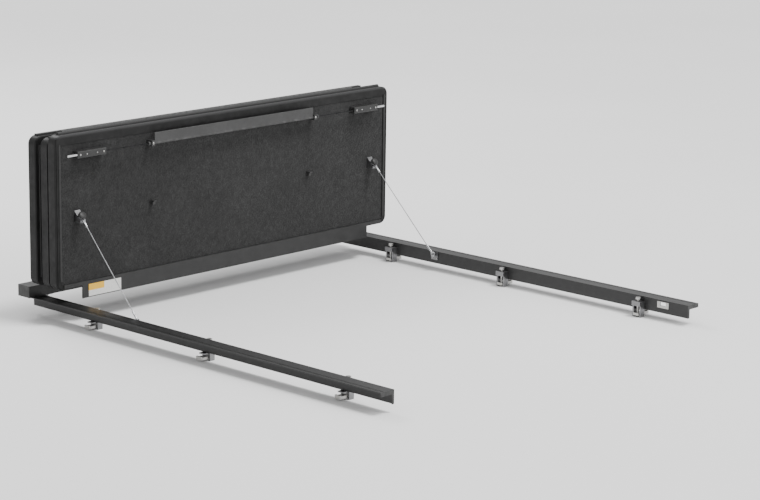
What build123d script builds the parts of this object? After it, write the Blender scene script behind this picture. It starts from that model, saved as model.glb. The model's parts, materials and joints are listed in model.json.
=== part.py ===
from build123d import *
import os

# Folding hard tonneau cover, shown folded upright at the cab end of its side rails.
# Millimetres. +X to the passenger side, +Y to the cab, +Z up.
# The origin is under the middle of the rail frame, level with the feet of the rail clamps.

# ---- driving dimensions -------------------------------------------------------------
PANEL_WIDTH = 1606
PANEL_THICK = 35
CORNER_R = 28
EDGE_R = 5
SKIN_T = 2
RIM_SIDE = 24         # widths of the extrusions round each panel
RIM_HIGH = 33
RIM_LOW = 16
RIM_WALL = 2.5
LINER_RECESS = 1.5    # the carpet sits this far behind the rim
LINER_T = 2.5
SEAL_H = 3.5          # side seals; closed, they stop 1.5 mm above the rails
SEAL_IN = 780
SEAL_W = 8
GROOVE_W = 2.5
GROOVE_D = 2

HINGE_Z = 115         # height of the front and rear fold hinges
TOP_HINGE_Z = 636
EDGE_GAP = 6          # from a hinge axis to the panel edges beside it
FRONT_Y = 767         # front hinge axis: header to front panel
SKIN_GAP = 3          # from the front and rear hinge axes to the skins
UNDER_GAP = 13        # from the middle hinge axis to the undersides
SKIRT_Z = 80          # bottom of the skirt that hangs below the rear fold
SKIRT_HALF = 695      # it swings down between the rails
REAR_TOP_Z = 644      # free edge of the rear panel
SEAL_LIP = 8

PIN_R = 2.5
KNUCKLE_R = 5.5
RUN = 0.05            # radial running clearance
LEAF_T = 2.5
LEAF_W = 46
HINGE_HALF = 700
KNUCKLES = 15

RAIL_IN = 733
RAIL_OUT = 790
RAIL_TOP = 72
RAIL_BOTTOM = 27
RAIL_WALL = 3
RAIL_REAR = -842
RAIL_FRONT = 832
SLOT_UP = 6           # from the closed bolt's centre line to the top of its slot

HEADER_REAR = 773
HEADER_TOP = HINGE_Z - SKIN_GAP
HEADER_WALL = 3
HEADER_SEAL = 10

LATCH_Z = 576         # height of the latch bolts and of the release bar
LATCH_OFF = 18.5      # bolt centre line to the rear panel's underside
BOLT_R = 4
BOLT_END = 765
ROD_R = 2
ROD_END = 385
BAR_R = 5
BAR_BORE = 2.6
BAR_HALF = 405
GRIP_HALF = 383
GRIP_H = 36

STAY_X = 710
STAY_Z = 366
STAY_OFF = 20         # pivot of a stay to the rear panel's underside
ANCHOR_X = 722
ANCHOR_Y = 311
ANCHOR_Z = 62
CABLE_R = 1.5
TERMINAL = 42         # from a stud to where the bare cable begins
CLIP_IN = 330         # from a stay's pivot in to the clip it stows in

CLAMP_Y = (-640, -26, 520)
CLAMP_X = 719
CHEEK_Y = 12.2        # half the gap between a clamp's cheeks
JAW_Z = 6             # underside of the moving jaw
KNOB_Z = 62           # underside of its knob

# ---- derived positions --------------------------------------------------------------
# the middle hinge joins the front and middle panels, the rear hinge the middle and rear panels
TOP_Y = FRONT_Y - SKIN_GAP - PANEL_THICK - UNDER_GAP
REAR_Y = TOP_Y - UNDER_GAP - PANEL_THICK - SKIN_GAP
FRONT_SKIN = FRONT_Y - SKIN_GAP
FRONT_UNDER = FRONT_SKIN - PANEL_THICK
MIDDLE_SKIN = REAR_Y + SKIN_GAP
MIDDLE_UNDER = MIDDLE_SKIN + PANEL_THICK
REAR_SKIN = REAR_Y - SKIN_GAP
REAR_UNDER = REAR_SKIN - PANEL_THICK
LOW_Z = HINGE_Z + EDGE_GAP
HIGH_Z = TOP_HINGE_Z - EDGE_GAP
HALF = PANEL_WIDTH / 2
LATCH_Y = REAR_UNDER - LATCH_OFF
STAY_Y = REAR_UNDER - STAY_OFF
REAR_LINER = REAR_UNDER + LINER_RECESS
CLOSED_REAR_Y = FRONT_Y - 2 * (TOP_HINGE_Z - HINGE_Z)
BOLT_CLOSED_Y = CLOSED_REAR_Y - (LATCH_Z - HINGE_Z)
BOLT_CLOSED_Z = HINGE_Z - SKIN_GAP - PANEL_THICK - LATCH_OFF


# ---- helpers ------------------------------------------------------------------------
def block(x0, x1, y0, y1, z0, z1):
    """A box between two corners, given in any order."""
    size = Box(abs(x1 - x0), abs(y1 - y0), abs(z1 - z0))
    return Pos((x0 + x1) / 2, (y0 + y1) / 2, (z0 + z1) / 2) * size


def rod(start, direction, radius, length):
    """A round bar that begins at a point and runs along a direction."""
    frame = Plane(origin=start, z_dir=direction)
    return frame * Cylinder(radius, length, align=(Align.CENTER, Align.CENTER, Align.MIN))


def plate_outline(y0, y1, half, z0, z1, radius):
    """A rounded plate standing in the XZ plane, from y0 to y1."""
    low = min(y0, y1)
    sketch = Plane.XZ.offset(-low) * Pos(0, (z0 + z1) / 2) * RectangleRounded(2 * half, z1 - z0, radius)
    return extrude(sketch, -abs(y1 - y0))


def save(name, *solids):
    """Write one node, which may be several separate solids."""
    if len(solids) == 1:
        shape = solids[0]
    else:
        shape = Compound(children=list(solids))
    shape.label = name
    export_step(shape, f"parts/{name}.step")


# ---- panels -------------------------------------------------------------------------
def panel(name, skin_y, under_y, z0, z1):
    """One panel: a skin over four rim extrusions, a foam core, and carpet underneath."""
    inward = 1 if under_y > skin_y else -1
    frame_y = skin_y + inward * SKIN_T
    liner_y = under_y - inward * LINER_RECESS
    core_y = liner_y - inward * LINER_T

    skin = plate_outline(skin_y, frame_y, HALF, z0, z1, CORNER_R)
    save(f"{name}_skin", skin)

    outline = plate_outline(frame_y, under_y, HALF, z0, z1, CORNER_R)
    face = outline.faces().sort_by(Axis.Y)[-1 if inward > 0 else 0]
    outline = fillet(face.edges(), EDGE_R)
    side_in = HALF - RIM_SIDE
    low_in = z0 + RIM_LOW
    high_in = z1 - RIM_HIGH
    members = [
        block(-HALF - 1, -side_in, frame_y, under_y, z0 - 1, z1 + 1),
        block(side_in, HALF + 1, frame_y, under_y, z0 - 1, z1 + 1),
        block(-side_in, side_in, frame_y, under_y, z0 - 1, low_in),
        block(-side_in, side_in, frame_y, under_y, high_in, z1 + 1),
    ]
    groove_y = under_y - inward * GROOVE_D
    side_groove = side_in + 17
    grooves = [
        block(-side_groove, -side_groove - GROOVE_W, groove_y, under_y + inward, z0 - 1, z1 + 1),
        block(side_groove, side_groove + GROOVE_W, groove_y, under_y + inward, z0 - 1, z1 + 1),
    ]
    # each extrusion is hollow, closed at its ends
    wall = RIM_WALL
    y_in = frame_y + inward * wall
    y_out = under_y - inward * (wall + GROOVE_D)
    cells = [
        block(-HALF + 9, -side_in - wall, y_in, y_out, z0 + 12, z1 - 12),
        block(side_in + wall, HALF - 9, y_in, y_out, z0 + 12, z1 - 12),
        block(-side_in + 10, side_in - 10, y_in, y_out, z0 + 8, low_in - wall),
        block(-side_in + 10, side_in - 10, y_in, y_out, high_in + wall, z1 - 8),
    ]
    rims = []
    for member, cell in zip(members, cells):
        solid = (member & outline) - cell
        for groove in grooves:
            solid = solid - groove
        rims.append(solid.solids()[0])
    save(f"{name}_rim", *rims)

    save(f"{name}_core", block(-side_in, side_in, frame_y, core_y, low_in, high_in))
    save(f"{name}_liner", plate_outline(core_y, liner_y, side_in - 0.5, low_in + 0.5, high_in - 0.5, 3))

    seals = []
    for side in (-1, 1):
        tip_y = under_y + inward * SEAL_H
        strip = block(side * SEAL_IN, side * (SEAL_IN + SEAL_W), under_y, tip_y, z0 + 30, z1 - 30)
        tip = strip.faces().sort_by(Axis.Y)[-1 if inward > 0 else 0]
        long_edges = tip.edges().filter_by(Axis.Z)
        seals.append(fillet(long_edges, 3))
    save(f"{name}_side_seals", *seals)


def fold_gaskets():
    """Soft strips that close the gap over the middle hinge."""
    strips = []
    for skin_y, inward in ((FRONT_SKIN, -1), (MIDDLE_SKIN, 1)):
        strips.append(block(-780, 780, skin_y + inward * 4, skin_y + inward * 20, HIGH_Z, HIGH_Z + 5))
    save("front_panel_gasket", strips[0])
    save("middle_panel_gasket", strips[1])


def rear_panel_extras():
    """The tailgate seal on the free edge, the skirt over the rear fold, and the plain label."""
    y0 = REAR_SKIN - 4
    lip = block(-772, 772, y0 - 14, y0, REAR_TOP_Z, REAR_TOP_Z + SEAL_LIP)
    lip = fillet(lip.faces().sort_by(Axis.Z)[-1].edges().filter_by(Axis.X), 6)
    save("rear_panel_tail_seal", lip)
    skirt = block(-SKIRT_HALF, SKIRT_HALF, REAR_UNDER - 4, REAR_UNDER - 1, SKIRT_Z, LOW_Z + 4)
    foot = block(-HALF + 30, HALF - 30, REAR_UNDER - 4, REAR_UNDER, LOW_Z + 4, LOW_Z + 16)
    save("rear_panel_skirt", (skirt + foot).solids()[0])
    label = block(-668, -525, REAR_UNDER - 4.6, REAR_UNDER - 4, SKIRT_Z + 3, SKIRT_Z + 45)
    save("blank_label", label)


# ---- hinges -------------------------------------------------------------------------
def hinge(name, axis_y, axis_z, leaves):
    """A long hinge on an X axis, with a pin and two leaves.

    A leaf is (node, which knuckles it has, plate maker, tab maker); the makers take an X span.
    """
    pitch = 2 * HINGE_HALF / KNUCKLES
    bore = rod((-HINGE_HALF - 1, axis_y, axis_z), (1, 0, 0), PIN_R + RUN, 2 * HINGE_HALF + 2)
    for node, parity, plate, tab in leaves:
        solid = plate(-HINGE_HALF, HINGE_HALF)
        for i in range(KNUCKLES):
            if i % 2 != parity:
                continue
            x0 = -HINGE_HALF + i * pitch + 0.3
            x1 = x0 + pitch - 0.6
            solid = solid + rod((x0, axis_y, axis_z), (1, 0, 0), KNUCKLE_R, x1 - x0)
            solid = solid + tab(x0, x1)
        solid = solid - bore
        save(node, solid.solids()[0])
    pin = rod((-HINGE_HALF, axis_y, axis_z), (1, 0, 0), PIN_R, 2 * HINGE_HALF)
    save(f"{name}_pin", pin)


def hinges():
    """The three hinges: header to front panel, front to middle panel, middle to rear panel."""
    clear = KNUCKLE_R + 0.7
    far = LEAF_W
    # front hinge: one leaf on the header's top, one on the front panel's skin
    hinge("front_hinge", FRONT_Y, HINGE_Z, [
        ("front_hinge_header_leaf", 0,
         lambda a, b: block(a, b, FRONT_Y + clear, FRONT_Y + 34, HEADER_TOP, HEADER_TOP + LEAF_T),
         lambda a, b: block(a, b, FRONT_Y, FRONT_Y + clear, HEADER_TOP, HEADER_TOP + LEAF_T)),
        ("front_hinge_panel_leaf", 1,
         lambda a, b: block(a, b, FRONT_SKIN, FRONT_SKIN + LEAF_T, HINGE_Z + clear, HINGE_Z + far),
         lambda a, b: block(a, b, FRONT_SKIN, FRONT_SKIN + LEAF_T, HINGE_Z, HINGE_Z + clear)),
    ])
    # rear hinge: both leaves between the skins of the middle and rear panels
    hinge("rear_hinge", REAR_Y, HINGE_Z, [
        ("rear_hinge_middle_leaf", 0,
         lambda a, b: block(a, b, MIDDLE_SKIN - LEAF_T, MIDDLE_SKIN, HINGE_Z + clear, HINGE_Z + far),
         lambda a, b: block(a, b, MIDDLE_SKIN - LEAF_T, MIDDLE_SKIN, HINGE_Z, HINGE_Z + clear)),
        ("rear_hinge_rear_leaf", 1,
         lambda a, b: block(a, b, REAR_SKIN, REAR_SKIN + LEAF_T, HINGE_Z + clear, HINGE_Z + far),
         lambda a, b: block(a, b, REAR_SKIN, REAR_SKIN + LEAF_T, HINGE_Z, HINGE_Z + clear)),
    ])
    # middle hinge: leaves on the undersides, reaching across to the axis near their tops
    low = TOP_HINGE_Z - far
    high = TOP_HINGE_Z - 1
    hinge("middle_hinge", TOP_Y, TOP_HINGE_Z, [
        ("middle_hinge_front_leaf", 0,
         lambda a, b: block(a, b, FRONT_UNDER - LEAF_T, FRONT_UNDER, low, high),
         lambda a, b: block(a, b, TOP_Y + 3, FRONT_UNDER, high - 3.5, high)),
        ("middle_hinge_middle_leaf", 1,
         lambda a, b: block(a, b, MIDDLE_UNDER, MIDDLE_UNDER + LEAF_T, low, high),
         lambda a, b: block(a, b, MIDDLE_UNDER, TOP_Y - 3, high - 3.5, high)),
    ])


# ---- rails and header ---------------------------------------------------------------
def rail(side):
    """A rail: a flat top strip welded along an upright web, which is slotted for the latch bolt."""
    s = side
    under_flange = RAIL_TOP - RAIL_WALL
    web_out = RAIL_IN + RAIL_WALL
    flange = block(s * web_out, s * RAIL_OUT, RAIL_REAR + 3, RAIL_FRONT, under_flange, RAIL_TOP)
    web = block(s * RAIL_IN, s * web_out, RAIL_REAR + 3, RAIL_FRONT, RAIL_BOTTOM, RAIL_TOP)
    y, z = BOLT_CLOSED_Y, BOLT_CLOSED_Z
    web = web - block(s * (RAIL_IN - 1), s * (web_out + 1), y - 12, y + 12, z - 6, z + SLOT_UP)
    for line in (0, 1):
        x = RAIL_OUT - 9 - 5 * line
        groove = block(s * x, s * (x - 1.5), RAIL_REAR, RAIL_FRONT + 1, RAIL_TOP - 1, RAIL_TOP + 1)
        flange = flange - groove
    save(f"rail_{'left' if s < 0 else 'right'}", flange.solids()[0], web.solids()[0])


def end_caps():
    """Plastic caps on the rear ends of the rails and on both ends of the header."""
    caps = []
    for s in (-1, 1):
        cap = block(s * RAIL_IN, s * RAIL_OUT, RAIL_REAR, RAIL_REAR + 3, RAIL_TOP - 14, RAIL_TOP)
        leg = block(s * RAIL_IN, s * (RAIL_IN + 8), RAIL_REAR, RAIL_REAR + 3, RAIL_BOTTOM, RAIL_TOP)
        caps.append((cap + leg).solids()[0])
        caps.append(block(s * (HALF - 3), s * HALF, HEADER_REAR, RAIL_FRONT, RAIL_TOP, HEADER_TOP))
    save("end_caps", *caps)


def striker_plates():
    """Thin plates round the bolt slots, on the inner faces of the rails."""
    plates = []
    y, z = BOLT_CLOSED_Y, BOLT_CLOSED_Z
    for s in (-1, 1):
        plate = block(s * (RAIL_IN - 1.5), s * RAIL_IN, y - 24, y + 24, z - 14, z + SLOT_UP + 2)
        hole = block(s * (RAIL_IN - 3), s * (RAIL_IN + 1), y - 12, y + 12, z - 6, z + SLOT_UP)
        plates.append(plate - hole)
    save("striker_plates", *plates)


def header():
    """A hollow bar across the front of the rails, and the bulb seal on its cab side."""
    w = HEADER_WALL
    outer = block(-HALF + 3, HALF - 3, HEADER_REAR, RAIL_FRONT, RAIL_TOP, HEADER_TOP)
    inner = block(-HALF, HALF, HEADER_REAR + w, RAIL_FRONT - w, RAIL_TOP + w, HEADER_TOP - w)
    save("front_header", (outer - inner).solids()[0])
    y1 = RAIL_FRONT + HEADER_SEAL
    bulb = block(-HALF + 20, HALF - 20, RAIL_FRONT, y1, RAIL_TOP + 8, RAIL_TOP + 30)
    bulb = fillet(bulb.faces().sort_by(Axis.Y)[-1].edges().filter_by(Axis.X), 8)
    save("header_seal", bulb)


def corner_brackets():
    """Angles that tie the header to the rails, with their bolts."""
    angles = []
    bolts = []
    for s in (-1, 1):
        x1 = RAIL_IN
        x0 = x1 - 40
        top = block(s * x0, s * x1, 782, 826, RAIL_TOP - 4, RAIL_TOP)
        leg = block(s * (x1 - 4), s * x1, 782, 826, RAIL_BOTTOM + 3, RAIL_TOP)
        angles.append(fillet((top + leg).edges().filter_by(Axis.Y).sort_by(Axis.Z)[-2:], 0.8))
        for y in (793, 815):
            bolts.append(rod((s * (x0 + 14), y, RAIL_TOP - 4), (0, 0, -1), 6, 4))
            bolts.append(rod((s * (x1 - 4), y, RAIL_TOP - 24), (-s, 0, 0), 6, 4))
    save("corner_brackets", *angles)
    save("corner_bolts", *bolts)


# ---- rail clamps --------------------------------------------------------------------
def clamp_frames():
    """For each clamp, a guide with two cheeks on the rail's inner face, and a fixed upper jaw."""
    frames = []
    for s in (-1, 1):
        for y in CLAMP_Y:
            body = block(s * 706, s * RAIL_IN, y - 18, y + 18, 40, 56)
            for t in (-1, 1):
                body = body + block(s * 712, s * RAIL_IN, y + t * CHEEK_Y, y + t * 18, 0, 40)
            body = body - rod((s * CLAMP_X, y, 30), (0, 0, 1), 4 + RUN, 40)
            frames.append(body.solids()[0])
            upper = block(s * 726, s * 752, y - CHEEK_Y, y + CHEEK_Y, RAIL_BOTTOM - 4, RAIL_BOTTOM)
            frames.append(upper)
    save("clamp_frames", *frames)


def clamp_jaw(side, index):
    """A hooked jaw that slides up and down between the cheeks, with its screw and knob."""
    s = side
    y = CLAMP_Y[index]
    jaw = block(s * 708, s * 766, y - 11.5, y + 11.5, JAW_Z, JAW_Z + 9)
    lip = block(s * 760, s * 766, y - 11.5, y + 11.5, JAW_Z, JAW_Z + 12)
    screw = rod((s * CLAMP_X, y, JAW_Z + 4), (0, 0, 1), 4, KNOB_Z + 3 - JAW_Z - 4)
    knob = rod((s * CLAMP_X, y, KNOB_Z), (0, 0, 1), 9, 7)
    knob -= rod((s * CLAMP_X, y, KNOB_Z - 1), (0, 0, 1), 4, 4)
    for k in range(6):
        turn = Pos(s * CLAMP_X, y, 0) * Rot(0, 0, 60 * k) * Pos(10.2, 0, KNOB_Z + 4)
        knob = knob - turn * Cylinder(2.6, 10)
    name = f"clamp_jaw_{'left' if s < 0 else 'right'}_{index + 1}"
    save(name, (jaw + lip + screw).solids()[0], knob.solids()[0])


# ---- latches ------------------------------------------------------------------------
def latches():
    """A housing at each side, and a bolt with its long rod sliding in it."""
    axis = (LATCH_Y, LATCH_Z)
    housings = []
    for s in (-1, 1):
        side = "left" if s < 0 else "right"
        body = block(s * 600, s * 725, REAR_UNDER - 25, REAR_LINER, LATCH_Z - 12, LATCH_Z + 12)
        outer = body.faces().sort_by(Axis.Y)[0]
        body = fillet(outer.edges(), 4)
        bore = rod((s * 595, *axis), (s, 0, 0), BOLT_R + RUN, 140)
        housings.append((body - bore).solids()[0])
        bolt = rod((s * 645, *axis), (s, 0, 0), BOLT_R, BOLT_END - 645)
        tip = bolt.faces().sort_by(Axis.X)[-1 if s > 0 else 0]
        bolt = chamfer(tip.edges(), 2)
        link = rod((s * ROD_END, *axis), (s, 0, 0), ROD_R, 646 - ROD_END)
        save(f"latch_bolt_{side}", (bolt + link).solids()[0])
    save("latch_housings", *housings)


def release_bar():
    """The long pull bar between the latches; it turns about the line of the latch rods."""
    y, z = LATCH_Y, LATCH_Z
    tube = rod((-BAR_HALF, y, z), (1, 0, 0), BAR_R, 2 * BAR_HALF)
    grip = block(-GRIP_HALF, GRIP_HALF, y - 4, y, z, z + GRIP_H)
    grip = fillet(grip.faces().sort_by(Axis.Z)[-1].edges().filter_by(Axis.X), 1.5)
    bar = tube + grip
    collars = []
    mounts = []
    for s in (-1, 1):
        bar = bar - rod((s * (ROD_END - 50), y, z), (s, 0, 0), BAR_BORE, 80)
        collar = rod((s * BAR_HALF, y, z), (s, 0, 0), 7, 6)
        collars.append(collar - rod((s * BAR_HALF, y, z), (s, 0, 0), BAR_BORE, 8))
        x = BAR_HALF - 19
        mount = block(s * x, s * (x + 14), REAR_UNDER - 27, REAR_LINER, z - 10, z + 10)
        mount = mount - rod((s * (x - 9), y, z), (s, 0, 0), BAR_R + RUN, 30)
        mounts.append(mount.solids()[0])
    save("release_bar", bar.solids()[0], *collars)
    save("release_bar_brackets", *mounts)


# ---- stays --------------------------------------------------------------------------
STUD_TILT = (STAY_Y - ANCHOR_Y, STAY_Z - ANCHOR_Z)
STUD_LEAN = (STUD_TILT[0] ** 2 + STUD_TILT[1] ** 2) ** 0.5
# out of the panel and up, square to the taut cable
STUD_DIR = (0, -STUD_TILT[1] / STUD_LEAN, STUD_TILT[0] / STUD_LEAN)


def point_along(start, direction, distance):
    """The point a distance away from another along a direction."""
    return tuple(p + d * distance for p, d in zip(start, direction))


def stay(side):
    """A wire stay with an eye at each end, taut from its stud down to the rail."""
    s = side
    word = "left" if s < 0 else "right"
    top = (s * STAY_X, STAY_Y, STAY_Z)
    low = (s * ANCHOR_X, ANCHOR_Y, ANCHOR_Z)
    span = Vector(*low) - Vector(*top)
    line = tuple(span.normalized())
    length = span.length

    # upper eye, turning on the shoulder of the stud
    eye_frame = Plane(origin=point_along(top, STUD_DIR, -2), z_dir=STUD_DIR)
    grow = (Align.CENTER, Align.CENTER, Align.MIN)
    eye = eye_frame * Cylinder(10, 4, align=grow)
    tang_frame = Plane(origin=top, x_dir=line, z_dir=STUD_DIR)
    tang = tang_frame * Pos(14, 0, 0) * Box(28, 8, 4)
    ferrule = rod(point_along(top, line, 26), line, 3.5, TERMINAL - 26)
    eye = eye + tang + ferrule
    eye = eye - rod(point_along(top, STUD_DIR, -3), STUD_DIR, 5 + RUN, 6)
    save(f"stay_{word}_top_eye", eye.solids()[0])

    # lower eye, over the stud on the rail
    ring = rod((s * (ANCHOR_X - 2), ANCHOR_Y, ANCHOR_Z), (s, 0, 0), 9, 4)
    tail = rod(point_along(top, line, length - TERMINAL), line, 3.5, 35)
    ring = ring + tail
    ring = ring - rod((s * (ANCHOR_X - 4), ANCHOR_Y, ANCHOR_Z), (s, 0, 0), 4.6, 8)
    save(f"stay_{word}_hook_eye", ring.solids()[0])

    cable = rod(point_along(top, line, TERMINAL), line, CABLE_R, length - 2 * TERMINAL)
    save(f"stay_{word}_cable", cable)

    # bracket, shoulder stud and knob on the rear panel
    seat = Plane(origin=point_along(top, STUD_DIR, -2.1), z_dir=STUD_DIR)
    wedge = block(s * STAY_X - 12, s * STAY_X + 12, STAY_Y - 8, REAR_LINER, STAY_Z - 20, STAY_Z + 34)
    cut = seat * Pos(0, 0, 50) * Box(200, 200, 100)
    wedge = (wedge - cut).solids()[0]
    wedge = wedge - rod(point_along(top, STUD_DIR, -12), STUD_DIR, 5, 14)
    shank = rod(point_along(top, STUD_DIR, -12), STUD_DIR, 5, 14.2)
    knob = rod(point_along(top, STUD_DIR, 2.2), STUD_DIR, 14, 12)
    end = knob.faces().sort_by(Axis.Y)[0]
    knob = fillet(end.edges(), 4)

    # anchor on the rail
    plate = block(s * (RAIL_IN - 3), s * RAIL_IN, ANCHOR_Y - 16, ANCHOR_Y + 16, 40, ANCHOR_Z + 8)
    plate = fillet(plate.edges().filter_by(Axis.X), 4)
    post = rod((s * (RAIL_IN - 2), ANCHOR_Y, ANCHOR_Z), (-s, 0, 0), 4, 16)
    return wedge.solids()[0], (shank + knob).solids()[0], (plate + post).solids()[0]


def stays():
    """Both stays, with the brackets, knobs and rail anchors that hold them."""
    held = [stay(side) for side in (-1, 1)]
    brackets, knobs, anchors = zip(*held)
    save("stay_brackets", *brackets)
    save("stay_knobs", *knobs)
    save("rail_anchors", *anchors)


def stow_clips():
    """Hooked rests on the rear panel that hold the stays when they are swung inboard."""
    clips = []
    for s in (-1, 1):
        x = s * (STAY_X - CLIP_IN)
        pad = block(x - 6, x + 6, STAY_Y + 7, REAR_LINER, STAY_Z - 6, STAY_Z + 8)
        lip = block(x - 6, x + 6, STAY_Y + 1, STAY_Y + 7, STAY_Z + 4, STAY_Z + 8)
        clips.append((pad + lip).solids()[0])
    save("stow_clips", *clips)


# ---- build --------------------------------------------------------------------------
os.makedirs("parts", exist_ok=True)
panel("front_panel", FRONT_SKIN, FRONT_UNDER, LOW_Z, HIGH_Z)
panel("middle_panel", MIDDLE_SKIN, MIDDLE_UNDER, LOW_Z, HIGH_Z)
panel("rear_panel", REAR_SKIN, REAR_UNDER, LOW_Z, REAR_TOP_Z)
fold_gaskets()
rear_panel_extras()
hinges()
for side in (-1, 1):
    rail(side)
    for index in range(len(CLAMP_Y)):
        clamp_jaw(side, index)
stays()
end_caps()
striker_plates()
header()
corner_brackets()
clamp_frames()
latches()
release_bar()
stow_clips()
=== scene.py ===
import bmesh
import bpy
import json
import math
from mathutils import Matrix, Vector


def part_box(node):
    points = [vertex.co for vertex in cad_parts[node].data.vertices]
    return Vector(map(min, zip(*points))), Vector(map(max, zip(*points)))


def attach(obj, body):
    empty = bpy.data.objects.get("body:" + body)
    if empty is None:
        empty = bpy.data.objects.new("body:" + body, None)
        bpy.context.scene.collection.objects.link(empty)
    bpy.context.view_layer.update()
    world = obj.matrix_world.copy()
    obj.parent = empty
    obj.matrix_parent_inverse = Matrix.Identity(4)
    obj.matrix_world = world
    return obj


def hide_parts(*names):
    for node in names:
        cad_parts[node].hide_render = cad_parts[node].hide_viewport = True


# A folding tonneau cover, folded upright on its rails. Metres; +X passenger side, +Y cab, +Z up.

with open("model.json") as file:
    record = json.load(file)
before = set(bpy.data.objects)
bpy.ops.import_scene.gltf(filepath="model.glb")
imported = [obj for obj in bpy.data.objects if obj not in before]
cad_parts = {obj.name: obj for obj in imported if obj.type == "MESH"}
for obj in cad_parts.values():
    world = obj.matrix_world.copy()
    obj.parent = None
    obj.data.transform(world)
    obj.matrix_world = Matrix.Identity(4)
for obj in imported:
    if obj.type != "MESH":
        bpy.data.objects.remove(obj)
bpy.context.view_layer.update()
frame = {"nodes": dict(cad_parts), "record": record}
NODES = frame["nodes"]
SIDES = (("left", -1), ("right", 1))


# ---- camera -------------------------------------------------------------------------
CAMERA_PLACE = Vector((-5.871, -5.559, 2.072))
CAMERA_YAW = math.radians(47.05)       # from +Y towards +X
CAMERA_PITCH = math.radians(12.75)     # downwards
CAMERA_ROLL = math.radians(0.809)
CAMERA_LENS = 116


def make_camera():
    data = bpy.data.cameras.new("camera")
    data.lens = CAMERA_LENS
    data.sensor_width = 36
    data.clip_start = 0.05
    data.clip_end = 200
    camera = bpy.data.objects.new("camera", data)
    bpy.context.scene.collection.objects.link(camera)
    flat = math.cos(CAMERA_PITCH)
    ahead = Vector((math.sin(CAMERA_YAW) * flat, math.cos(CAMERA_YAW) * flat, -math.sin(CAMERA_PITCH)))
    level = Vector((math.cos(CAMERA_YAW), -math.sin(CAMERA_YAW), 0))
    above = level.cross(ahead)
    right = level * math.cos(CAMERA_ROLL) + above * math.sin(CAMERA_ROLL)
    up = right.cross(ahead)
    turn = Matrix((right, up, -ahead)).transposed()
    camera.matrix_world = Matrix.Translation(CAMERA_PLACE) @ turn.to_4x4()
    bpy.context.scene.camera = camera


# ---- materials ----------------------------------------------------------------------
class Finish:
    """A small helper that builds one procedural material."""

    def __init__(self, name, roughness=0.5, metallic=0.0):
        self.material = bpy.data.materials.new(name)
        self.material.use_nodes = True
        self.tree = self.material.node_tree
        self.shader = self.tree.nodes["Principled BSDF"]
        self.shader.inputs["Roughness"].default_value = roughness
        self.shader.inputs["Metallic"].default_value = metallic
        self.place = self.tree.nodes.new("ShaderNodeTexCoord").outputs["Object"]
        self.normal = None

    def link(self, out, into):
        self.tree.links.new(out, into)

    def stretched(self, x, y, z):
        node = self.tree.nodes.new("ShaderNodeMapping")
        node.inputs["Scale"].default_value = (x, y, z)
        self.link(self.place, node.inputs["Vector"])
        return node.outputs["Vector"]

    def noise(self, scale, detail=4.0, roughness=0.55, where=None):
        node = self.tree.nodes.new("ShaderNodeTexNoise")
        node.inputs["Scale"].default_value = scale
        node.inputs["Detail"].default_value = detail
        node.inputs["Roughness"].default_value = roughness
        self.link(where or self.place, node.inputs["Vector"])
        return node.outputs["Fac"]

    def cells(self, scale, where=None):
        node = self.tree.nodes.new("ShaderNodeTexVoronoi")
        node.inputs["Scale"].default_value = scale
        self.link(where or self.place, node.inputs["Vector"])
        return node.outputs["Distance"]

    def ramp(self, value, low, dark, high, light):
        node = self.tree.nodes.new("ShaderNodeValToRGB")
        first, last = node.color_ramp.elements
        first.position, last.position = low, high
        first.color = (*dark, 1)
        last.color = (*light, 1)
        self.link(value, node.inputs["Fac"])
        return node.outputs["Color"]

    def spread(self, value, low, high, span=(0.3, 0.7)):
        node = self.tree.nodes.new("ShaderNodeMapRange")
        node.inputs["From Min"].default_value = span[0]
        node.inputs["From Max"].default_value = span[1]
        node.inputs["To Min"].default_value = low
        node.inputs["To Max"].default_value = high
        self.link(value, node.inputs["Value"])
        return node.outputs["Result"]

    def mix(self, amount, a, b, kind="MIX"):
        node = self.tree.nodes.new("ShaderNodeMix")
        node.data_type = "RGBA"
        node.blend_type = kind
        for socket, value in ((node.inputs[0], amount), (node.inputs[6], a), (node.inputs[7], b)):
            if isinstance(value, bpy.types.NodeSocket):
                self.link(value, socket)
            elif isinstance(value, float):
                socket.default_value = value
            else:
                socket.default_value = (*value, 1)
        return node.outputs[2]

    def bump(self, height, distance, strength=1.0):
        node = self.tree.nodes.new("ShaderNodeBump")
        node.inputs["Strength"].default_value = strength
        node.inputs["Distance"].default_value = distance
        self.link(height, node.inputs["Height"])
        if self.normal:
            self.link(self.normal, node.inputs["Normal"])
        self.normal = node.outputs["Normal"]
        self.link(self.normal, self.shader.inputs["Normal"])

    def colour(self, out):
        self.link(out, self.shader.inputs["Base Color"])

    def rough(self, out):
        self.link(out, self.shader.inputs["Roughness"])

    def worn_edges(self, colour, bare, low=0.53, high=0.60):
        """Lighter rubbed edges, broken up by noise."""
        sharp = self.tree.nodes.new("ShaderNodeNewGeometry").outputs["Pointiness"]
        edge = self.spread(sharp, 0.0, 1.0, (low, high))
        patch = self.spread(self.noise(45, 5), 0.0, 0.55, (0.45, 0.75))
        node = self.tree.nodes.new("ShaderNodeMath")
        node.operation = "MULTIPLY"
        self.link(edge, node.inputs[0])
        self.link(patch, node.inputs[1])
        return self.mix(node.outputs[0], colour, bare)


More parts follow.
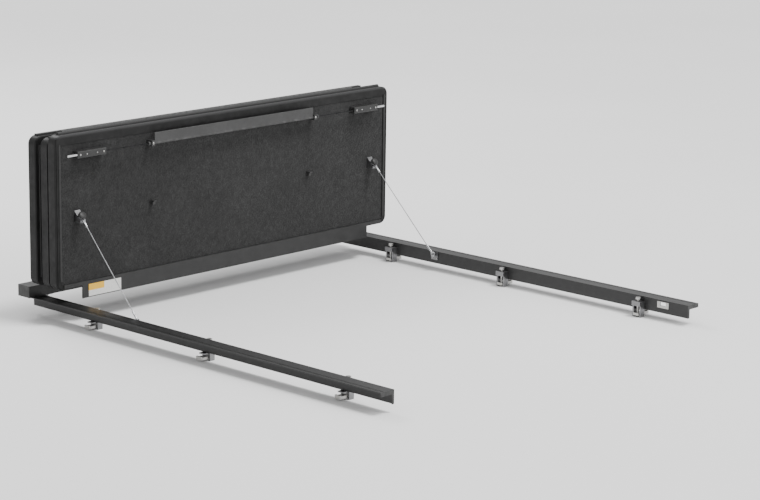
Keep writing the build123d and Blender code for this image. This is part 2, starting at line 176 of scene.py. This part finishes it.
def carpet():
    """Charcoal needle-punched felt: mottled fibres with a soft sheen."""
    f = Finish("carpet", roughness=0.95)
    clouds = f.ramp(f.noise(7, 3), 0.3, (0.016, 0.016, 0.016), 0.7, (0.023, 0.023, 0.023))
    tufts = f.noise(230, 6, 0.7)
    fibres = f.noise(900, 3, 0.7, f.stretched(1, 1, 0.35))
    flecks = f.ramp(tufts, 0.35, (0.5, 0.5, 0.5), 0.68, (1.4, 1.4, 1.4))
    lint = f.ramp(fibres, 0.35, (0.75, 0.75, 0.75), 0.7, (1.25, 1.25, 1.25))
    tufted = f.mix(1.0, clouds, flecks, "MULTIPLY")
    blots = f.ramp(f.noise(48, 5, 0.65), 0.38, (0.72, 0.72, 0.72), 0.64, (1.22, 1.22, 1.22))
    f.colour(f.mix(1.0, f.mix(1.0, tufted, lint, "MULTIPLY"), blots, "MULTIPLY"))
    f.bump(tufts, 0.0022)
    f.bump(fibres, 0.0008)
    f.shader.inputs["Sheen Weight"].default_value = 0.12
    f.shader.inputs["Sheen Roughness"].default_value = 0.6
    f.shader.inputs["Specular IOR Level"].default_value = 0.10
    return f.material


def powder_coat(name, shade, roughness=0.42, grain=1100):
    """Black powder coat over aluminium: fine orange peel and lightly rubbed edges."""
    f = Finish(name, roughness=roughness)
    tone = f.ramp(f.noise(14, 4), 0.3, (shade * 0.85,) * 3, 0.7, (shade * 1.2,) * 3)
    f.colour(f.worn_edges(tone, (shade * 3.2,) * 3))
    f.rough(f.spread(f.noise(60, 4), roughness - 0.06, roughness + 0.10))
    f.bump(f.noise(grain, 2), 0.00012)
    f.bump(f.noise(160, 2), 0.00010)
    return f.material


def rim_coat():
    """The rims' powder coat with lightly rubbed edges, and a painted highlight along the folded stack's top
    edges.
    """
    f = Finish("rim_black", roughness=0.45)
    tone = f.ramp(f.noise(14, 4), 0.3, (0.012,) * 3, 0.7, (0.019,) * 3)
    split = f.tree.nodes.new("ShaderNodeSeparateXYZ")
    f.link(f.place, split.inputs[0])
    # painted highlight: the coat turns lighter above z 0.634-0.640, where the folded stack's top edge catches
    # the light
    top = f.spread(split.outputs["Z"], 0.0, 0.75, (0.634, 0.640))
    tone = f.mix(top, tone, (0.050, 0.050, 0.051))
    f.colour(f.worn_edges(tone, (0.036,) * 3, 0.52, 0.58))
    f.rough(f.spread(f.noise(60, 4), 0.38, 0.56))
    f.bump(f.noise(1100, 2), 0.00012)
    f.bump(f.noise(160, 2), 0.00010)
    f.shader.inputs["Specular IOR Level"].default_value = 0.14
    return f.material


def latch_steel():
    """Bright zinc bolts, with black-dipped rods inboard of the housings."""
    f = Finish("steel", roughness=0.3, metallic=1.0)
    split = f.tree.nodes.new("ShaderNodeSeparateXYZ")
    f.link(f.place, split.inputs[0])
    size = f.tree.nodes.new("ShaderNodeMath")
    size.operation = "ABSOLUTE"
    f.link(split.outputs["X"], size.inputs[0])
    bright = f.spread(size.outputs[0], 0.0, 1.0, (0.7195, 0.7205))
    smudge = f.noise(38, 5, 0.6)
    zinc = f.ramp(smudge, 0.3, (0.56, 0.56, 0.57), 0.7, (0.78, 0.78, 0.78))
    dipped = f.ramp(smudge, 0.3, (0.020, 0.020, 0.021), 0.7, (0.038, 0.038, 0.039))
    f.colour(f.mix(bright, dipped, zinc))
    f.rough(f.spread(smudge, 0.24, 0.42))
    f.bump(f.noise(1, 3, 0.6, f.stretched(12, 700, 700)), 0.00005)
    return f.material


def pebbled_skin():
    """Black composite skin with a moulded leather-like grain."""
    f = Finish("pebbled_skin", roughness=0.5)
    f.colour(f.ramp(f.noise(9, 4), 0.3, (0.010, 0.010, 0.010), 0.7, (0.016, 0.016, 0.016)))
    grain = f.cells(420)
    f.bump(grain, 0.0005, 0.8)
    f.bump(f.noise(1300, 3), 0.00008)
    f.rough(f.spread(f.noise(30, 5), 0.46, 0.64))
    f.shader.inputs["Specular IOR Level"].default_value = 0.30
    return f.material


def brushed_black(name, shade, axis):
    """Black anodised extrusion with fine drawing lines along one axis."""
    f = Finish(name, roughness=0.38, metallic=0.25)
    scale = [520, 520, 520]
    scale[axis] = 4
    lines = f.noise(1, 3, 0.6, f.stretched(*scale))
    tone = f.ramp(lines, 0.3, (shade * 0.8,) * 3, 0.7, (shade * 1.25,) * 3)
    f.colour(f.worn_edges(tone, (shade * 1.7,) * 3))
    f.rough(f.spread(lines, 0.30, 0.48))
    f.bump(lines, 0.00006)
    return f.material


def metal(name, low, high, roughness, along=0, plating=0.0):
    """Brushed or plated steel, with smudges and drawing lines."""
    f = Finish(name, roughness=roughness, metallic=1.0)
    scale = [700, 700, 700]
    scale[along] = 12
    lines = f.noise(1, 3, 0.6, f.stretched(*scale))
    smudge = f.noise(38, 5, 0.6)
    base = f.ramp(smudge, 0.3, low, 0.7, high)
    if plating:
        base = f.mix(f.spread(f.noise(90, 4), 0.0, plating), base, (0.36, 0.33, 0.25))
    f.colour(base)
    f.rough(f.spread(smudge, roughness - 0.07, roughness + 0.12))
    f.bump(lines, 0.00005)
    return f.material


def rubber(shade=0.016):
    """Soft black rubber, dusty and finely grained."""
    f = Finish("seal_rubber", roughness=0.7)
    dust = f.noise(24, 6, 0.65)
    f.colour(f.ramp(dust, 0.4, (shade,) * 3, 0.8, (shade * 2.4,) * 3))
    f.rough(f.spread(dust, 0.58, 0.85))
    f.bump(f.noise(700, 3), 0.00018)
    return f.material


def moulded_plastic(shade=0.014):
    """Black moulded plastic with a fine spark-eroded grain."""
    f = Finish("black_plastic", roughness=0.45)
    tone = f.ramp(f.noise(20, 4), 0.3, (shade,) * 3, 0.7, (shade * 1.6,) * 3)
    f.colour(f.worn_edges(tone, (0.06,) * 3))
    f.bump(f.noise(1500, 2), 0.00014)
    f.rough(f.spread(f.noise(70, 4), 0.38, 0.55))
    return f.material


def foam():
    """Cream closed-cell foam."""
    f = Finish("foam", roughness=0.9)
    bubbles = f.cells(600)
    f.colour(f.ramp(bubbles, 0.0, (0.45, 0.41, 0.30), 0.6, (0.62, 0.58, 0.46)))
    f.bump(bubbles, 0.0006)
    return f.material


def plain_label():
    """A sticker with two plain fields and no lettering."""
    f = Finish("plain_label", roughness=0.4)
    split = f.tree.nodes.new("ShaderNodeSeparateXYZ")
    f.link(f.place, split.inputs[0])
    high = f.spread(split.outputs["Z"], 0.0, 1.0, (0.1028, 0.1032))
    left = f.spread(split.outputs["X"], 1.0, 0.0, (-0.6002, -0.5998))
    both = f.tree.nodes.new("ShaderNodeMath")
    both.operation = "MULTIPLY"
    f.link(high, both.inputs[0])
    f.link(left, both.inputs[1])
    paper = f.ramp(f.noise(300, 4), 0.3, (0.62, 0.62, 0.60), 0.7, (0.74, 0.74, 0.72))
    f.colour(f.mix(both.outputs[0], paper, (0.80, 0.46, 0.03)))
    f.bump(f.noise(500, 2), 0.00005)
    return f.material


def finishes():
    """One material for each of the record's slots."""
    return {
        "panel_skin": pebbled_skin(),
        "rim_black": rim_coat(),
        "foam_core": foam(),
        "carpet": carpet(),
        "seal_rubber": rubber(),
        "rail_black": brushed_black("rail_black", 0.022, 1),
        "hinge_black": powder_coat("hinge_black", 0.030, 0.36, 900),
        "steel": latch_steel(),
        "zinc_steel": metal("zinc_steel", (0.42, 0.42, 0.43), (0.60, 0.60, 0.59), 0.36, 1, 0.35),
        "grey_bracket": metal("grey_bracket", (0.20, 0.20, 0.205), (0.29, 0.29, 0.295), 0.40, 2),
        "bar_grey": powder_coat("bar_grey", 0.034, 0.46, 700),
        "black_plastic": moulded_plastic(),
        "wire_rope": metal("wire_rope", (0.44, 0.45, 0.46), (0.62, 0.62, 0.63), 0.32, 2),
        "label_blank": plain_label(),
    }


def dress(made):
    """Give every carried-over CAD node its slot's material."""
    for part in frame["record"]["subparts"]:
        node = NODES[part["node"]]
        node.data.materials.clear()
        node.data.materials.append(made[part["material_slot"]])


# ---- mesh helpers -------------------------------------------------------------------
def object_from(bm, name, material, body, smooth=True):
    """Finish a bmesh as a piece that rides on a body."""
    bmesh.ops.recalc_face_normals(bm, faces=bm.faces)
    mesh = bpy.data.meshes.new(name)
    bm.to_mesh(mesh)
    bm.free()
    mesh.materials.append(material)
    if smooth:
        mesh.shade_smooth()
        mesh.set_sharp_from_angle(angle=math.radians(38))
    piece = bpy.data.objects.new(name, mesh)
    bpy.context.scene.collection.objects.link(piece)
    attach(piece, body)
    return piece


def facing(point, direction):
    """A place whose local +Z looks along a direction."""
    turn = Vector(direction).to_track_quat("Z", "Y").to_matrix().to_4x4()
    return Matrix.Translation(Vector(point)) @ turn


def hexagon(angle):
    """Radius of a unit hexagon at an angle."""
    return math.cos(math.pi / 6) / math.cos((angle % (math.pi / 3)) - math.pi / 6)


def lathe(bm, profile, place, segments=24, shape=None):
    """Turn (radius, height) points about local Z. shape(angle, row) scales a row's radius."""
    rings = []
    for row, (radius, height) in enumerate(profile):
        if radius == 0:
            rings.append([bm.verts.new(place @ Vector((0, 0, height)))])
            continue
        ring = []
        for i in range(segments):
            angle = 2 * math.pi * i / segments
            r = radius * (shape(angle, row) if shape else 1)
            ring.append(bm.verts.new(place @ Vector((r * math.cos(angle), r * math.sin(angle), height))))
        rings.append(ring)
    for a, b in zip(rings, rings[1:]):
        for i in range(segments):
            j = (i + 1) % segments
            corners = [a[i % len(a)], a[j % len(a)], b[j % len(b)], b[i % len(b)]]
            unique = list(dict.fromkeys(corners))
            if len(unique) > 2:
                bm.faces.new(unique)


def button_screw(bm, point, direction, radius=0.0038, height=0.0022):
    """A domed screw head with a hexagon socket."""
    socket = radius * 0.48
    profile = [
        (0, height * 0.30), (socket, height * 0.30), (socket, height), (radius * 0.72, height * 0.88),
        (radius * 0.94, height * 0.45), (radius, height * 0.12), (radius, 0), (0, 0),
    ]
    lathe(bm, profile, facing(point, direction), 24,
          lambda angle, row: hexagon(angle) if row in (1, 2) else 1)


def hex_bolt(bm, point, direction, radius=0.0068, height=0.005):
    """A hexagon head with a chamfered top and a washer under it."""
    washer = 0.0012
    lathe(bm, [(0, washer), (radius * 1.25, washer), (radius * 1.3, washer * 0.6), (radius * 1.3, 0), (0, 0)],
          facing(point, direction))
    base = facing(point, direction) @ Matrix.Translation((0, 0, washer))
    profile = [(0, height), (radius * 0.8, height), (radius, height * 0.82), (radius, 0), (0, 0)]
    lathe(bm, profile, base, 24, lambda angle, row: hexagon(angle) if row in (2, 3) else 1)


def edges_of(node):
    low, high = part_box(node)
    return Vector(low), Vector(high)


# ---- pieces -------------------------------------------------------------------------
LEAF_T = 0.0025       # thickness of the hinge leaves that the screws sit on
HINGE_SCREW_PITCH = 0.1


def screws(made):
    """Screws and bolts, one mesh for each body and kind."""
    along = [HINGE_SCREW_PITCH * (i - 6.5) for i in range(14)]

    leaf_front = edges_of("front_hinge_header_leaf")[1].y
    bm = bmesh.new()
    leaf_top = edges_of("front_header")[1].z + LEAF_T
    for x in along:
        button_screw(bm, (x, leaf_front - 0.010, leaf_top), (0, 0, 1))
    a, b = edges_of("rail_anchors")
    for word, s in SIDES:
        wall = b.x if s > 0 else a.x
        inner = wall - s * 0.003
        for dy in (-0.010, 0.010):
            button_screw(bm, (inner, (a.y + b.y) / 2 + dy, a.z + 0.007), (-s, 0, 0), 0.0032)
    object_from(bm, "frame_screws", made["zinc_steel"], "frame")

    low, high = edges_of("front_panel_skin")
    bm = bmesh.new()
    for x in along:
        button_screw(bm, (x, high.y + LEAF_T, low.z + 0.030), (0, 1, 0))
    under = edges_of("front_panel_rim")[0].y - LEAF_T
    for x in along:
        button_screw(bm, (x, under, high.z - 0.022), (0, -1, 0))
    object_from(bm, "front_panel_screws", made["zinc_steel"], "front_panel")

    high = edges_of("middle_panel_rim")[1]
    bm = bmesh.new()
    for x in along:
        button_screw(bm, (x, high.y + LEAF_T, high.z - 0.022), (0, 1, 0))
    object_from(bm, "middle_panel_screws", made["zinc_steel"], "middle_panel")

    low, high = edges_of("latch_housings")
    bm = bmesh.new()
    middle = (low.z + high.z) / 2
    outer = max(abs(low.x), abs(high.x))
    for word, s in SIDES:
        for inset in (0.012, 0.113):
            button_screw(bm, (s * (outer - inset), low.y, middle), (0, -1, 0), 0.0034)
        for inset in (0.040, 0.085):
            button_screw(bm, (s * (outer - inset), low.y, middle), (0, -1, 0), 0.0024, 0.0014)
    a, b = edges_of("release_bar_brackets")
    for word, s in SIDES:
        button_screw(bm, (s * (b.x - 0.007), a.y, (a.z + b.z) / 2), (0, -1, 0), 0.0040)
    object_from(bm, "rear_panel_screws", made["zinc_steel"], "rear_panel")


def corner_bolt_heads(made):
    """Hexagon bolts in place of the plain ones at the header corners."""
    low, high = edges_of("corner_bolts")
    plate_high = edges_of("corner_brackets")[1]
    bm = bmesh.new()
    for word, s in SIDES:
        for y in (low.y + 0.006, high.y - 0.006):
            hex_bolt(bm, (s * (plate_high.x - 0.026), y, plate_high.z - 0.004), (0, 0, -1), 0.0046, 0.0036)
            hex_bolt(bm, (s * (plate_high.x - 0.004), y, plate_high.z - 0.024), (-s, 0, 0), 0.0046, 0.0036)
    piece = object_from(bm, "corner_hex_bolts", made["zinc_steel"], "frame")
    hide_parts("corner_bolts")


# the stay's two ends, as the CAD has them on the passenger side
STAY_PIVOT = Vector((0.710, 0.607, 0.366))
ANCHOR = Vector((0.722, 0.311, 0.062))
TERMINAL = 0.042      # from an eye's centre to the end of its ferrule
STRANDS = 6
WIRE_R = 0.0005
LAY = 0.014           # length of one turn of the strands


def lobed(count, depth):
    """Radius of a grip with rounded lobes."""
    return lambda angle: 1 - depth * (0.5 - 0.5 * math.cos(count * angle)) ** 2


def stay_knobs(made):
    """Round star-grip knobs with a domed cap, on their shoulder studs."""
    line = ANCHOR - STAY_PIVOT
    out = Vector((0, line.z, -line.y)).normalized()
    grip = lobed(10, 0.09)
    bm = bmesh.new()
    for word, s in SIDES:
        centre = Vector((s * STAY_PIVOT.x, STAY_PIVOT.y, STAY_PIVOT.z))
        place = facing(centre, out)
        stud = [(0, 0.0022), (0.0050, 0.0022), (0.0050, -0.0117), (0, -0.0117)]
        lathe(bm, stud, place, 32)
        head = [
            (0, 0.0023), (0.0120, 0.0023), (0.0136, 0.0036), (0.0140, 0.0060), (0.0139, 0.0100),
            (0.0130, 0.0122), (0.0108, 0.0134), (0.0098, 0.0130), (0.0090, 0.0134), (0.0050, 0.0141),
            (0, 0.0142),
        ]
        lathe(bm, head, place, 80, lambda angle, row: grip(angle) if 1 <= row <= 6 else 1)
    piece = object_from(bm, "stay_knob_grips", made["black_plastic"], "rear_panel")
    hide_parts("stay_knobs")


def route_points(start, end):
    """Points along the stay's line, read from a NURBS spline."""
    data = bpy.data.curves.new("route", "CURVE")
    data.dimensions = "3D"
    data.resolution_u = 40
    spline = data.splines.new("NURBS")
    spline.points.add(2)
    for point, place in zip(spline.points, (start, (start + end) / 2, end)):
        point.co = (*place, 1)
    spline.order_u = 3
    spline.use_endpoint_u = True
    holder = bpy.data.objects.new("route", data)
    bpy.context.scene.collection.objects.link(holder)
    mesh = bpy.data.meshes.new_from_object(holder)
    points = [v.co.copy() for v in mesh.vertices]
    bpy.data.objects.remove(holder)
    bpy.data.meshes.remove(mesh)
    return points


def strand(bm, start, direction, side, up, length, phase, radius):
    """One wire of the rope, winding about the line."""
    steps = int(length / LAY * 10)
    sides = 6
    last = None
    for i in range(steps + 1):
        t = i / steps
        angle = phase + 2 * math.pi * length * t / LAY
        swing = side * math.cos(angle) + up * math.sin(angle)
        centre = start + direction * (length * t) + swing * radius
        ring = []
        for k in range(sides):
            a = 2 * math.pi * k / sides
            ring.append(bm.verts.new(centre + side * (WIRE_R * math.cos(a)) + up * (WIRE_R * math.sin(a))))
        if last:
            for k in range(sides):
                bm.faces.new((last[k], last[(k + 1) % sides], ring[(k + 1) % sides], ring[k]))
        else:
            bm.faces.new(ring[::-1])
        last = ring
    bm.faces.new(last)


def stays(made):
    """Twisted wire ropes, taut between their swaged eyes."""
    for word, s in SIDES:
        top = Vector((s * STAY_PIVOT.x, STAY_PIVOT.y, STAY_PIVOT.z))
        low = Vector((s * ANCHOR.x, ANCHOR.y, ANCHOR.z))
        direction = (low - top).normalized()
        start = top + direction * TERMINAL
        end = low - direction * TERMINAL
        path = route_points(start, end)
        length = (path[-1] - path[0]).length
        up = Vector((1, 0, 0)).cross(direction).normalized()
        side = direction.cross(up)
        bm = bmesh.new()
        strand(bm, path[0], direction, side, up, length, 0, 0)
        for k in range(STRANDS):
            strand(bm, path[0], direction, side, up, length, 2 * math.pi * k / STRANDS, 2 * WIRE_R)
        rope = object_from(bm, f"stay_{word}_rope", made["wire_rope"], f"stay_{word}")
        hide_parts(f"stay_{word}_cable")


CLAMP_X = 0.719
THREAD_FOOT = 0.0175  # height where the thread begins, above the jaw
THREAD_PITCH = 0.00125
THREAD_TURNS = 11     # short enough to stay out of the guide when the jaw is raised
STEPS_PER_TURN = 16


def clamp_threads(made):
    """A raised thread on each clamp screw, between guide and jaw."""
    for word, s in SIDES:
        for index in (1, 2, 3):
            low, high = edges_of(f"clamp_jaw_{word}_{index}")
            centre_y = (low.y + high.y) / 2
            bm = bmesh.new()
            last = None
            for i in range(THREAD_TURNS * STEPS_PER_TURN + 1):
                angle = 2 * math.pi * i / STEPS_PER_TURN
                z = THREAD_FOOT + THREAD_PITCH * i / STEPS_PER_TURN
                swing = Vector((math.cos(angle), math.sin(angle), 0))
                base = Vector((s * CLAMP_X, centre_y, z))
                ring = [
                    bm.verts.new(base + swing * 0.0038 + Vector((0, 0, -0.0005))),
                    bm.verts.new(base + swing * 0.0044),
                    bm.verts.new(base + swing * 0.0038 + Vector((0, 0, 0.0005))),
                ]
                if last:
                    for k in range(3):
                        bm.faces.new((last[k], last[(k + 1) % 3], ring[(k + 1) % 3], ring[k]))
                else:
                    bm.faces.new(ring[::-1])
                last = ring
            bm.faces.new(last)
            object_from(bm, f"clamp_thread_{word}_{index}", made["zinc_steel"],
                        f"clamp_jaw_{word}_{index}")


# ---- stage --------------------------------------------------------------------------
FLOOR_HALF = 40


def stage():
    """A pale floor and soft lights."""
    bm = bmesh.new()
    bmesh.ops.create_grid(bm, x_segments=1, y_segments=1, size=FLOOR_HALF)
    mesh = bpy.data.meshes.new("floor")
    bm.to_mesh(mesh)
    bm.free()
    floor = bpy.data.objects.new("floor", mesh)
    bpy.context.scene.collection.objects.link(floor)
    f = Finish("floor", roughness=0.85)
    f.colour(f.ramp(f.noise(0.6, 2), 0.3, (0.86, 0.86, 0.86), 0.7, (0.89, 0.89, 0.89)))
    mesh.materials.append(f.material)

    world = bpy.data.worlds.new("studio")
    bpy.context.scene.world = world
    world.use_nodes = True
    background = world.node_tree.nodes["Background"]
    background.inputs["Color"].default_value = (1.0, 1.0, 1.0, 1)
    background.inputs["Strength"].default_value = 0.85

    daylight = bpy.data.lights.new("daylight", "SUN")
    daylight.energy = 2.7
    daylight.angle = math.radians(18)
    sun = bpy.data.objects.new("daylight", daylight)
    bpy.context.scene.collection.objects.link(sun)
    sun.rotation_mode = "QUATERNION"
    sun.rotation_quaternion = Vector((-0.22, 0.34, -1.0)).to_track_quat("-Z", "Y")

    lamps = (
        ("key", (1.2, -4.4, 3.6), 2.4, 90),
        ("rim", (0.6, 4.6, 4.0), 2.4, 110),
    )
    for name, place, size, power in lamps:
        data = bpy.data.lights.new(name, "AREA")
        data.shape = "DISK"
        data.size = size
        data.energy = power
        lamp = bpy.data.objects.new(name, data)
        bpy.context.scene.collection.objects.link(lamp)
        aim = Vector((0, 0.2, 0.3)) - Vector(place)
        lamp.location = place
        lamp.rotation_mode = "QUATERNION"
        lamp.rotation_quaternion = aim.to_track_quat("-Z", "Y")


make_camera()
made = finishes()
stays(made)
dress(made)
screws(made)
corner_bolt_heads(made)
stay_knobs(made)
clamp_threads(made)
stage()
